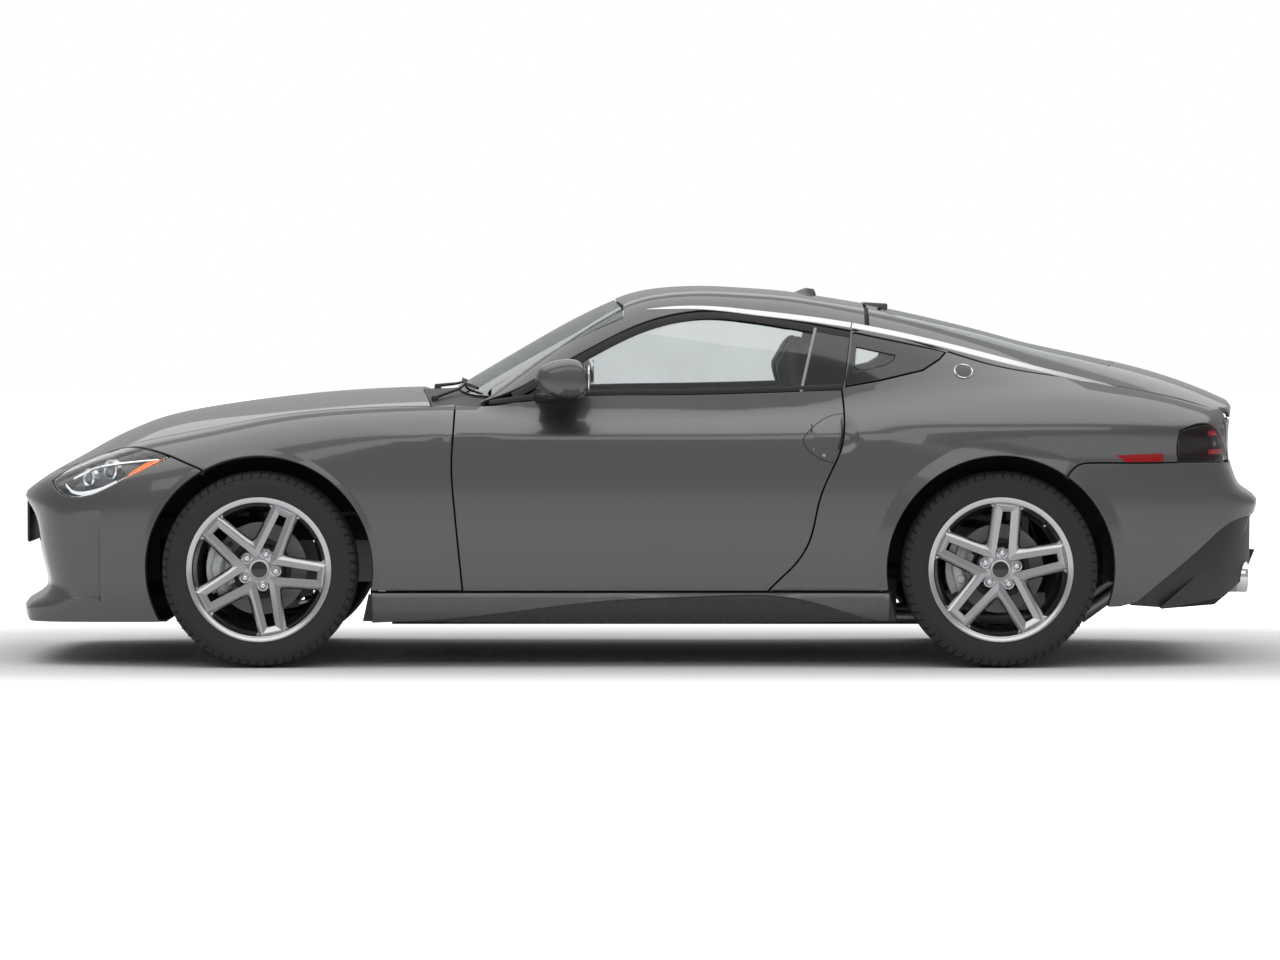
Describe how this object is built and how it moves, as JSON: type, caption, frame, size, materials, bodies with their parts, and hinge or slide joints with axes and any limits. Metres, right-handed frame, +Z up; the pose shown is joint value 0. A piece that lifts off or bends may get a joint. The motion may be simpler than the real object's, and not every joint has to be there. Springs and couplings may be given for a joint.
{
  "type": "coupe car",
  "caption": "Two-seat fastback coupe car with hinged doors, hood and hatch, steered front wheels and free-turning road wheels.",
  "frame": {"origin": "on the ground, midway along the length and the width", "axes": "+Z up, -X towards the front, -Y towards the car's left side"},
  "size_m": [4.38, 2.006, 1.3171],
  "materials": {
    "body_paint": "metallic grey paint under clear coat",
    "black_trim": "black moulded trim",
    "gloss_black": "gloss black plastic",
    "window_glass": "tinted window glass",
    "lamp_front": "clear lamp cover",
    "lamp_rear": "dark red lamp cover",
    "tyre_rubber": "road tyre",
    "wheel_alloy": "machined faces with grey pockets",
    "brake_iron": "bare brake disc",
    "caliper_silver": "silver enamel and cast parts",
    "chassis_metal": "dark underbody coating",
    "suspension_metal": "cast and pressed steel",
    "engine_metal": "cast aluminium",
    "exhaust_steel": "stainless steel",
    "radiator_metal": "dark aluminium core",
    "seat_leather": "black leather and cloth",
    "cabin_plastic": "soft black plastic",
    "liner_plastic": "felted wheel liner"
  },
  "bodies": {
    "car_body": {"headlamps": "lamp_front", "front_bumper": "body_paint", "grille": "black_trim", "front_fenders": "body_paint", "cowl": "black_trim", "roof": "body_paint", "windshield": "window_glass", "rear_quarters": "body_paint", "quarter_glass": "window_glass", "sills": "body_paint", "tail_lamps": "lamp_rear", "rear_bumper": "body_paint", "diffuser": "black_trim", "radiator": "radiator_metal", "cargo_floor": "chassis_metal", "wheel_liners": "liner_plastic", "floor_pan": "chassis_metal", "firewall": "chassis_metal", "front_frame": "chassis_metal", "engine": "engine_metal", "driveline": "suspension_metal", "exhaust": "exhaust_steel", "fuel_tank": "chassis_metal", "seats": "seat_leather", "dashboard": "cabin_plastic", "steering_wheel": "seat_leather", "front_suspension": "suspension_metal", "rear_suspension": "suspension_metal"},
    "hood_lid": {"hood": "body_paint"},
    "hatch_lid": {"hatch": "body_paint", "hatch_glass": "window_glass"},
    "door_body_left": {"door_left": "body_paint", "door_glass_left": "window_glass", "mirror_left": "body_paint"},
    "steered_left": {"knuckle_left": "caliper_silver"},
    "door_body_right": {"door_right": "body_paint", "door_glass_right": "window_glass", "mirror_right": "body_paint"},
    "steered_right": {"knuckle_right": "caliper_silver"},
    "wheel_front_left": {"tyre_front_left": "tyre_rubber", "rim_front_left": "wheel_alloy", "brake_disc_front_left": "brake_iron"},
    "wheel_front_right": {"tyre_front_right": "tyre_rubber", "rim_front_right": "wheel_alloy", "brake_disc_front_right": "brake_iron"},
    "wheel_rear_left": {"tyre_rear_left": "tyre_rubber", "rim_rear_left": "wheel_alloy", "brake_disc_rear_left": "brake_iron"},
    "wheel_rear_right": {"tyre_rear_right": "tyre_rubber", "rim_rear_right": "wheel_alloy", "brake_disc_rear_right": "brake_iron"}
  },
  "joints": [
    {"name": "door_swing_left", "type": "hinge", "parent": "car_body", "child": "door_body_left", "pos_m": [-0.645, -0.905, 0.7], "axis": [0, 0, -1], "range_deg": [0, 65]},
    {"name": "steer_left", "type": "hinge", "parent": "car_body", "child": "steered_left", "pos_m": [-1.31, -0.721, 0.339], "axis": [0, 0, 1], "range_deg": [-32, 32]},
    {"name": "spin_front_left", "type": "hinge", "parent": "steered_left", "child": "wheel_front_left", "pos_m": [-1.31, -0.777, 0.339], "axis": [0, 1, 0], "continuous": true},
    {"name": "spin_rear_left", "type": "hinge", "parent": "car_body", "child": "wheel_rear_left", "pos_m": [1.24, -0.782, 0.339], "axis": [0, 1, 0], "continuous": true},
    {"name": "door_swing_right", "type": "hinge", "parent": "car_body", "child": "door_body_right", "pos_m": [-0.645, 0.905, 0.7], "axis": [0, 0, 1], "range_deg": [0, 65]},
    {"name": "steer_right", "type": "hinge", "parent": "car_body", "child": "steered_right", "pos_m": [-1.31, 0.721, 0.339], "axis": [0, 0, 1], "range_deg": [-32, 32]},
    {"name": "spin_front_right", "type": "hinge", "parent": "steered_right", "child": "wheel_front_right", "pos_m": [-1.31, 0.777, 0.339], "axis": [0, 1, 0], "continuous": true},
    {"name": "spin_rear_right", "type": "hinge", "parent": "car_body", "child": "wheel_rear_right", "pos_m": [1.24, 0.782, 0.339], "axis": [0, 1, 0], "continuous": true},
    {"name": "hood_lift", "type": "hinge", "parent": "car_body", "child": "hood_lid", "pos_m": [-0.722, 0, 0.96], "axis": [0, 1, 0], "range_deg": [0, 50]},
    {"name": "hatch_lift", "type": "hinge", "parent": "car_body", "child": "hatch_lid", "pos_m": [0.785, 0, 1.262], "axis": [0, -1, 0], "range_deg": [0, 65]}
  ],
  "couplings": [
    {"joint": "steer_right", "follows": "steer_left", "ratio": 1}
  ]
}
